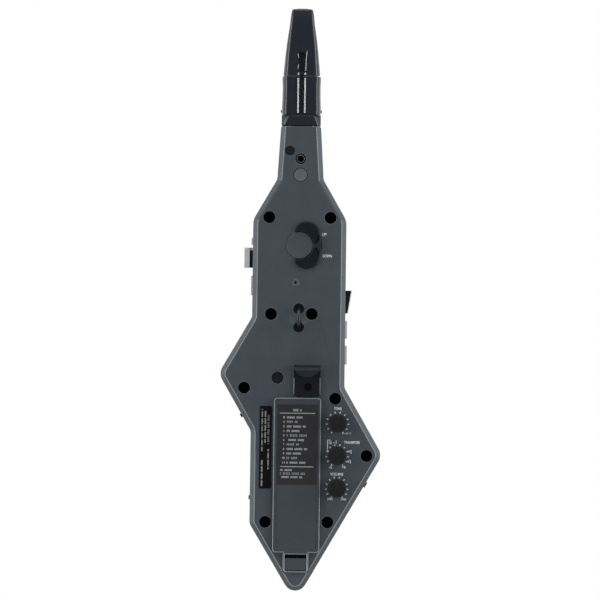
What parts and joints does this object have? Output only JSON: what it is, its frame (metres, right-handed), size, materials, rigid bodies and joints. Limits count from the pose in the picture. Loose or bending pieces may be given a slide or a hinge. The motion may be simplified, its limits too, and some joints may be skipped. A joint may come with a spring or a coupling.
{
  "type": "digital wind controller",
  "caption": "Hand-held electronic wind instrument with a beak mouthpiece, flat case with slanted wings, press keys, turning knobs, strap ring, thumb hook and a hinged battery door.",
  "frame": {"origin": "centre of the strap ring's eye, in the plane of the rear face, where the neck strap holds the instrument", "axes": "+Z along the instrument to the mouthpiece tip, -Y out of the rear face with the knobs and the battery door, +X to the right as seen from the rear"},
  "size_m": [0.1256, 0.0577, 0.4548],
  "materials": {
    "case": "moulded, fine matt texture",
    "mouthpiece": "moulded, glossy",
    "black_plastic": "moulded, matt",
    "knob": "moulded, fluted",
    "key_cap": "silver coated",
    "finger_key": "moulded, satin",
    "bar_key": "moulded, satin",
    "octave_key": "moulded, ribbed",
    "rubber": "moulded",
    "seal": "moulded",
    "silicone": "extruded",
    "disc": "moulded, satin",
    "wire": "blackened wire",
    "screw": "blackened",
    "bright_metal": "plated",
    "label": "printed film",
    "board": "solder mask",
    "part_body": "moulded",
    "speaker": "coated",
    "cell": "wrapped"
  },
  "bodies": {
    "case": {"rear_case": "case", "front_case": "case", "case_screws": "screw", "screw_plug": "rubber", "neck_screw": "screw", "neck_cap": "disc", "drain_plug": "rubber", "neck_tenon": "part_body", "tenon_seal": "seal", "breath_tube": "silicone", "breath_sensor": "part_body", "thumb_rest": "case", "strap_ring": "wire", "thumb_hook": "black_plastic", "hook_screw": "screw", "rating_plate": "label", "battery_cells": "cell", "battery_contacts": "bright_metal", "rotary_switches": "part_body", "main_board": "board", "key_mats": "rubber", "key_switches": "part_body", "speaker_driver": "speaker", "speaker_grille": "black_plastic", "phones_jack": "black_plastic", "usb_socket": "bright_metal", "power_switch_body": "bright_metal"},
    "door": {"battery_door": "case", "tone_label": "label"},
    "latch": {"battery_latch": "case"},
    "mouthpiece": {"mouthpiece": "mouthpiece"},
    "octave_up_key": {"octave_up_key": "octave_key"},
    "octave_down_key": {"octave_down_key": "octave_key"},
    "palm_key_upper": {"palm_key_upper": "key_cap"},
    "palm_key_middle": {"palm_key_middle": "key_cap"},
    "palm_key_lower": {"palm_key_lower": "key_cap"},
    "side_key_upper": {"side_key_upper": "black_plastic"},
    "side_key_middle": {"side_key_middle": "key_cap"},
    "side_key_lower": {"side_key_lower": "key_cap"},
    "front_f_key": {"front_f_key": "finger_key"},
    "bis_key": {"bis_key": "finger_key"},
    "b_key": {"b_key": "finger_key"},
    "a_key": {"a_key": "finger_key"},
    "g_key": {"g_key": "finger_key"},
    "f_key": {"f_key": "finger_key"},
    "e_key": {"e_key": "finger_key"},
    "d_key": {"d_key": "finger_key"},
    "g_sharp_key": {"g_sharp_key": "bar_key"},
    "c_sharp_key": {"c_sharp_key": "bar_key"},
    "low_b_key": {"low_b_key": "bar_key"},
    "low_b_flat_key": {"low_b_flat_key": "bar_key"},
    "e_flat_key": {"e_flat_key": "bar_key"},
    "low_c_key": {"low_c_key": "bar_key"},
    "tone_knob": {"tone_knob": "knob"},
    "transpose_knob": {"transpose_knob": "knob"},
    "volume_knob": {"volume_knob": "knob"},
    "power_switch": {"power_switch": "black_plastic"}
  },
  "joints": [
    {"name": "mouthpiece_pull", "type": "slide", "parent": "case", "child": "mouthpiece", "axis": [0, 0, 1], "range_m": [0, 0.019]},
    {"name": "door_swing", "type": "hinge", "parent": "case", "child": "door", "pos_m": [0, -0.003, -0.0623], "axis": [-1, 0, 0], "range_deg": [0, 70]},
    {"name": "latch_slide", "type": "slide", "parent": "door", "child": "latch", "axis": [0, 0, 1], "range_m": [0, 0.0028], "stiffness_N_per_m": 400, "springref_m": -0.002},
    {"name": "octave_up_press", "type": "slide", "parent": "case", "child": "octave_up_key", "axis": [0, 1, 0], "range_m": [0, 0.0015], "stiffness_N_per_m": 300, "springref_m": -0.002},
    {"name": "octave_down_press", "type": "slide", "parent": "case", "child": "octave_down_key", "axis": [0, 1, 0], "range_m": [0, 0.0015], "stiffness_N_per_m": 300, "springref_m": -0.002},
    {"name": "palm_upper_press", "type": "slide", "parent": "case", "child": "palm_key_upper", "axis": [1, 0, 0], "range_m": [0, 0.001], "stiffness_N_per_m": 300, "springref_m": -0.002},
    {"name": "palm_middle_press", "type": "slide", "parent": "case", "child": "palm_key_middle", "axis": [1, 0, 0], "range_m": [0, 0.0022], "stiffness_N_per_m": 300, "springref_m": -0.002},
    {"name": "palm_lower_press", "type": "slide", "parent": "case", "child": "palm_key_lower", "axis": [1, 0, 0], "range_m": [0, 0.001], "stiffness_N_per_m": 300, "springref_m": -0.002},
    {"name": "side_upper_press", "type": "slide", "parent": "case", "child": "side_key_upper", "axis": [-1, 0, 0], "range_m": [0, 0.0015], "stiffness_N_per_m": 300, "springref_m": -0.002},
    {"name": "side_middle_press", "type": "slide", "parent": "case", "child": "side_key_middle", "axis": [-1, 0, 0], "range_m": [0, 0.0015], "stiffness_N_per_m": 300, "springref_m": -0.002},
    {"name": "side_lower_press", "type": "slide", "parent": "case", "child": "side_key_lower", "axis": [-1, 0, 0], "range_m": [0, 0.0015], "stiffness_N_per_m": 300, "springref_m": -0.002},
    {"name": "front_f_press", "type": "slide", "parent": "case", "child": "front_f_key", "axis": [0, -1, 0], "range_m": [0, 0.0022], "stiffness_N_per_m": 300, "springref_m": -0.002},
    {"name": "bis_press", "type": "slide", "parent": "case", "child": "bis_key", "axis": [0, -1, 0], "range_m": [0, 0.0022], "stiffness_N_per_m": 300, "springref_m": -0.002},
    {"name": "b_press", "type": "slide", "parent": "case", "child": "b_key", "axis": [0, -1, 0], "range_m": [0, 0.0022], "stiffness_N_per_m": 300, "springref_m": -0.002},
    {"name": "a_press", "type": "slide", "parent": "case", "child": "a_key", "axis": [0, -1, 0], "range_m": [0, 0.0022], "stiffness_N_per_m": 300, "springref_m": -0.002},
    {"name": "g_press", "type": "slide", "parent": "case", "child": "g_key", "axis": [0, -1, 0], "range_m": [0, 0.0022], "stiffness_N_per_m": 300, "springref_m": -0.002},
    {"name": "f_press", "type": "slide", "parent": "case", "child": "f_key", "axis": [0, -1, 0], "range_m": [0, 0.0022], "stiffness_N_per_m": 300, "springref_m": -0.002},
    {"name": "e_press", "type": "slide", "parent": "case", "child": "e_key", "axis": [0, -1, 0], "range_m": [0, 0.0022], "stiffness_N_per_m": 300, "springref_m": -0.002},
    {"name": "d_press", "type": "slide", "parent": "case", "child": "d_key", "axis": [0, -1, 0], "range_m": [0, 0.0022], "stiffness_N_per_m": 300, "springref_m": -0.002},
    {"name": "g_sharp_press", "type": "slide", "parent": "case", "child": "g_sharp_key", "axis": [0, -1, 0], "range_m": [0, 0.0022], "stiffness_N_per_m": 300, "springref_m": -0.002},
    {"name": "c_sharp_press", "type": "slide", "parent": "case", "child": "c_sharp_key", "axis": [0, -1, 0], "range_m": [0, 0.0022], "stiffness_N_per_m": 300, "springref_m": -0.002},
    {"name": "low_b_press", "type": "slide", "parent": "case", "child": "low_b_key", "axis": [0, -1, 0], "range_m": [0, 0.0022], "stiffness_N_per_m": 300, "springref_m": -0.002},
    {"name": "low_b_flat_press", "type": "slide", "parent": "case", "child": "low_b_flat_key", "axis": [0, -1, 0], "range_m": [0, 0.0022], "stiffness_N_per_m": 300, "springref_m": -0.002},
    {"name": "e_flat_press", "type": "slide", "parent": "case", "child": "e_flat_key", "axis": [0, -1, 0], "range_m": [0, 0.0022], "stiffness_N_per_m": 300, "springref_m": -0.002},
    {"name": "low_c_press", "type": "slide", "parent": "case", "child": "low_c_key", "axis": [0, -1, 0], "range_m": [0, 0.0022], "stiffness_N_per_m": 300, "springref_m": -0.002},
    {"name": "tone_turn", "type": "hinge", "parent": "case", "child": "tone_knob", "pos_m": [0.0314, 0, -0.0817], "axis": [0, -1, 0], "range_deg": [-149, 149]},
    {"name": "transpose_turn", "type": "hinge", "parent": "case", "child": "transpose_knob", "pos_m": [0.0314, 0, -0.10705], "axis": [0, -1, 0], "range_deg": [-149, 149]},
    {"name": "volume_turn", "type": "hinge", "parent": "case", "child": "volume_knob", "pos_m": [0.0314, 0, -0.1324], "axis": [0, -1, 0], "range_deg": [-149, 149]},
    {"name": "power_slide", "type": "slide", "parent": "case", "child": "power_switch", "axis": [0.5, 0, -0.866], "range_m": [0, 0.003]}
  ]
}
